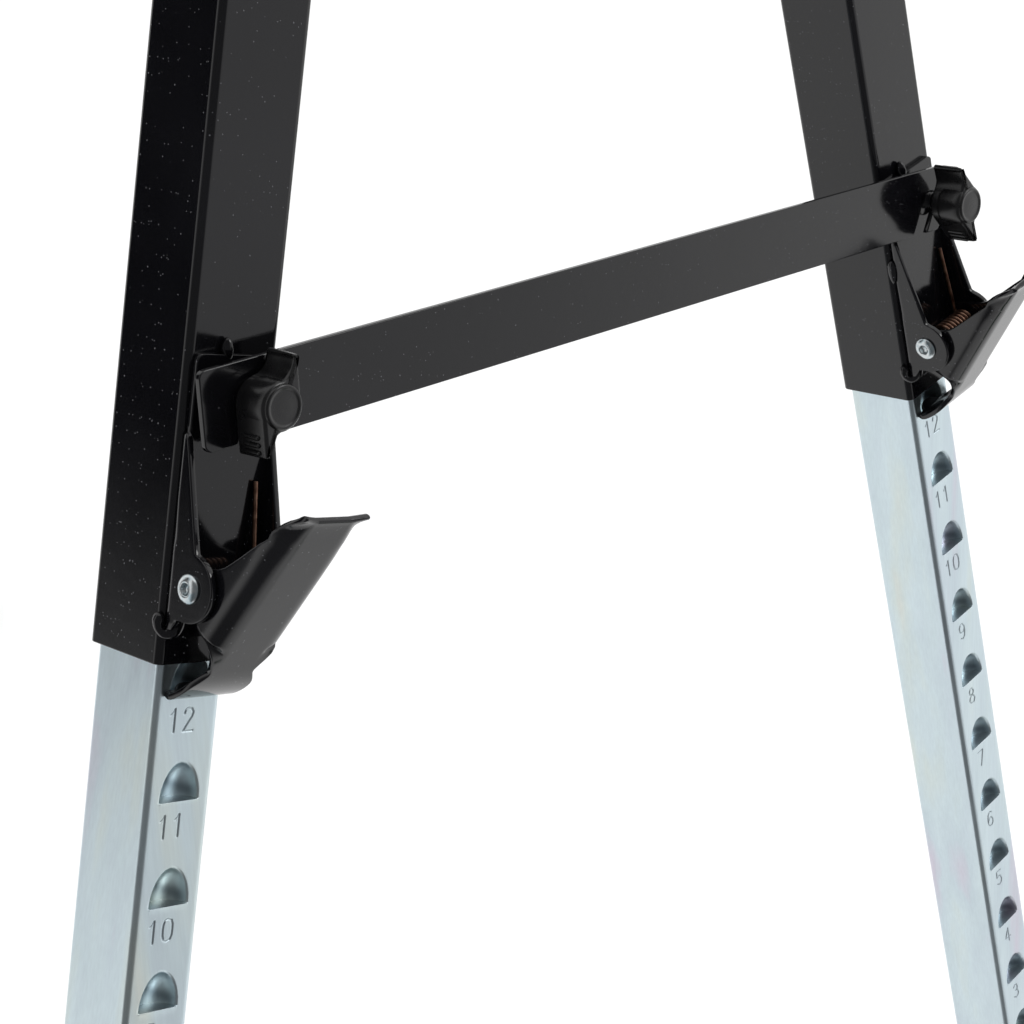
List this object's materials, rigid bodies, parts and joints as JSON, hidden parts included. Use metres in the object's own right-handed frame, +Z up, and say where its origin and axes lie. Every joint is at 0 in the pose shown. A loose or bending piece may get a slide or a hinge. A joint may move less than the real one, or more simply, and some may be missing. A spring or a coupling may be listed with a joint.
{
  "type": "folding builders trestle",
  "caption": "Folding builders trestle with a square head tube on splayed telescopic legs, sprung pedal latches, pressed height stops, cross bars and wing knobs.",
  "frame": {"origin": "middle of the base, on the floor", "axes": "+Z up, Y along the head tube with the front end frame at -Y, X across the end frames"},
  "size_m": [0.7222, 1.1982, 1.2884],
  "materials": {
    "black_coat": "gloss black powder coat",
    "bright_zinc": "bright zinc plate, faintly iridescent",
    "plated_steel": "zinc plated",
    "spring_wire": "copper coloured spring wire",
    "knob_plastic": "moulded, half matt",
    "rubber": "matt",
    "nylon": "natural"
  },
  "bodies": {
    "head": {"head_tube": "black_coat", "head_end_caps": "rubber", "front_head_bracket": "black_coat", "front_hinge_bolts": "plated_steel", "rear_head_bracket": "black_coat", "rear_hinge_bolts": "plated_steel"},
    "front_left_leg": {"front_left_outer_leg": "black_coat", "front_left_guide_pad": "nylon", "front_left_latch_bracket": "black_coat", "front_left_pivot_bolt": "plated_steel", "front_left_torsion_spring": "spring_wire", "front_left_knob_stud": "black_coat"},
    "front_left_slide": {"front_left_inner_leg": "bright_zinc", "front_left_foot": "rubber"},
    "front_left_pedal": {"front_left_latch_pedal": "black_coat"},
    "front_left_knob": {"front_left_wing_knob": "knob_plastic"},
    "front_right_leg": {"front_right_outer_leg": "black_coat", "front_right_guide_pad": "nylon", "front_right_latch_bracket": "black_coat", "front_right_pivot_bolt": "plated_steel", "front_right_torsion_spring": "spring_wire", "front_right_knob_stud": "black_coat"},
    "front_right_slide": {"front_right_inner_leg": "bright_zinc", "front_right_foot": "rubber"},
    "front_right_pedal": {"front_right_latch_pedal": "black_coat"},
    "front_right_knob": {"front_right_wing_knob": "knob_plastic"},
    "front_bar": {"front_cross_bar": "black_coat"},
    "rear_left_leg": {"rear_left_outer_leg": "black_coat", "rear_left_guide_pad": "nylon", "rear_left_latch_bracket": "black_coat", "rear_left_pivot_bolt": "plated_steel", "rear_left_torsion_spring": "spring_wire", "rear_left_knob_stud": "black_coat"},
    "rear_left_slide": {"rear_left_inner_leg": "bright_zinc", "rear_left_foot": "rubber"},
    "rear_left_pedal": {"rear_left_latch_pedal": "black_coat"},
    "rear_left_knob": {"rear_left_wing_knob": "knob_plastic"},
    "rear_right_leg": {"rear_right_outer_leg": "black_coat", "rear_right_guide_pad": "nylon", "rear_right_latch_bracket": "black_coat", "rear_right_pivot_bolt": "plated_steel", "rear_right_torsion_spring": "spring_wire", "rear_right_knob_stud": "black_coat"},
    "rear_right_slide": {"rear_right_inner_leg": "bright_zinc", "rear_right_foot": "rubber"},
    "rear_right_pedal": {"rear_right_latch_pedal": "black_coat"},
    "rear_right_knob": {"rear_right_wing_knob": "knob_plastic"},
    "rear_bar": {"rear_cross_bar": "black_coat"}
  },
  "joints": [
    {"name": "front_left_leg_fold", "type": "hinge", "parent": "head", "child": "front_left_leg", "pos_m": [-0.0482, -0.47, 1.20244], "axis": [0, 0.9977, -0.068], "range_deg": [-13.6, 0]},
    {"name": "front_left_height", "type": "slide", "parent": "front_left_leg", "child": "front_left_slide", "axis": [0.2351, 0.0661, 0.9697], "range_m": [-0.039, 0.429]},
    {"name": "front_left_pedal_press", "type": "hinge", "parent": "front_left_leg", "child": "front_left_pedal", "pos_m": [-0.21409, -0.54916, 0.52053], "axis": [-0.972, 0.016, 0.2346], "range_deg": [0, 22], "stiffness_Nm_per_rad": 0.6, "springref_deg": -28.65, "deforming": ["front_left_torsion_spring"]},
    {"name": "front_left_knob_turn", "type": "hinge", "parent": "front_left_leg", "child": "front_left_knob", "pos_m": [-0.19869, -0.53226, 0.58319], "axis": [0, -0.9977, 0.068], "range_deg": [0, 360]},
    {"name": "front_right_leg_fold", "type": "hinge", "parent": "head", "child": "front_right_leg", "pos_m": [0.0482, -0.47, 1.20244], "axis": [0, 0.9977, -0.068], "range_deg": [0, 13.6]},
    {"name": "front_right_height", "type": "slide", "parent": "front_right_leg", "child": "front_right_slide", "axis": [-0.2351, 0.0661, 0.9697], "range_m": [-0.039, 0.429]},
    {"name": "front_right_pedal_press", "type": "hinge", "parent": "front_right_leg", "child": "front_right_pedal", "pos_m": [0.21409, -0.54916, 0.52053], "axis": [-0.972, -0.016, -0.2346], "range_deg": [0, 22], "stiffness_Nm_per_rad": 0.6, "springref_deg": -28.65, "deforming": ["front_right_torsion_spring"]},
    {"name": "front_right_knob_turn", "type": "hinge", "parent": "front_right_leg", "child": "front_right_knob", "pos_m": [0.19869, -0.53226, 0.58319], "axis": [0, -0.9977, 0.068], "range_deg": [0, 360]},
    {"name": "front_bar_fold", "type": "hinge", "parent": "front_left_leg", "child": "front_bar", "pos_m": [-0.19869, -0.53226, 0.58319], "axis": [0, 0.9977, -0.068], "range_deg": [-76.41, 0]},
    {"name": "rear_left_leg_fold", "type": "hinge", "parent": "head", "child": "rear_left_leg", "pos_m": [0.0482, 0.47, 1.20244], "axis": [0, -0.9977, -0.068], "range_deg": [-13.6, 0]},
    {"name": "rear_left_height", "type": "slide", "parent": "rear_left_leg", "child": "rear_left_slide", "axis": [-0.2351, -0.0661, 0.9697], "range_m": [-0.039, 0.429]},
    {"name": "rear_left_pedal_press", "type": "hinge", "parent": "rear_left_leg", "child": "rear_left_pedal", "pos_m": [0.21409, 0.54916, 0.52053], "axis": [0.972, -0.016, 0.2346], "range_deg": [0, 22], "stiffness_Nm_per_rad": 0.6, "springref_deg": -28.65, "deforming": ["rear_left_torsion_spring"]},
    {"name": "rear_left_knob_turn", "type": "hinge", "parent": "rear_left_leg", "child": "rear_left_knob", "pos_m": [0.19869, 0.53226, 0.58319], "axis": [0, 0.9977, 0.068], "range_deg": [0, 360]},
    {"name": "rear_right_leg_fold", "type": "hinge", "parent": "head", "child": "rear_right_leg", "pos_m": [-0.0482, 0.47, 1.20244], "axis": [0, -0.9977, -0.068], "range_deg": [0, 13.6]},
    {"name": "rear_right_height", "type": "slide", "parent": "rear_right_leg", "child": "rear_right_slide", "axis": [0.2351, -0.0661, 0.9697], "range_m": [-0.039, 0.429]},
    {"name": "rear_right_pedal_press", "type": "hinge", "parent": "rear_right_leg", "child": "rear_right_pedal", "pos_m": [-0.21409, 0.54916, 0.52053], "axis": [0.972, 0.016, -0.2346], "range_deg": [0, 22], "stiffness_Nm_per_rad": 0.6, "springref_deg": -28.65, "deforming": ["rear_right_torsion_spring"]},
    {"name": "rear_right_knob_turn", "type": "hinge", "parent": "rear_right_leg", "child": "rear_right_knob", "pos_m": [-0.19869, 0.53226, 0.58319], "axis": [0, 0.9977, 0.068], "range_deg": [0, 360]},
    {"name": "rear_bar_fold", "type": "hinge", "parent": "rear_left_leg", "child": "rear_bar", "pos_m": [0.19869, 0.53226, 0.58319], "axis": [0, -0.9977, -0.068], "range_deg": [-76.41, 0]}
  ],
  "couplings": [
    {"joint": "front_right_leg_fold", "follows": "front_left_leg_fold", "ratio": -1},
    {"joint": "front_bar_fold", "follows": "front_left_leg_fold", "ratio": 5.6177},
    {"joint": "rear_right_leg_fold", "follows": "rear_left_leg_fold", "ratio": -1},
    {"joint": "rear_bar_fold", "follows": "rear_left_leg_fold", "ratio": 5.6177}
  ]
}
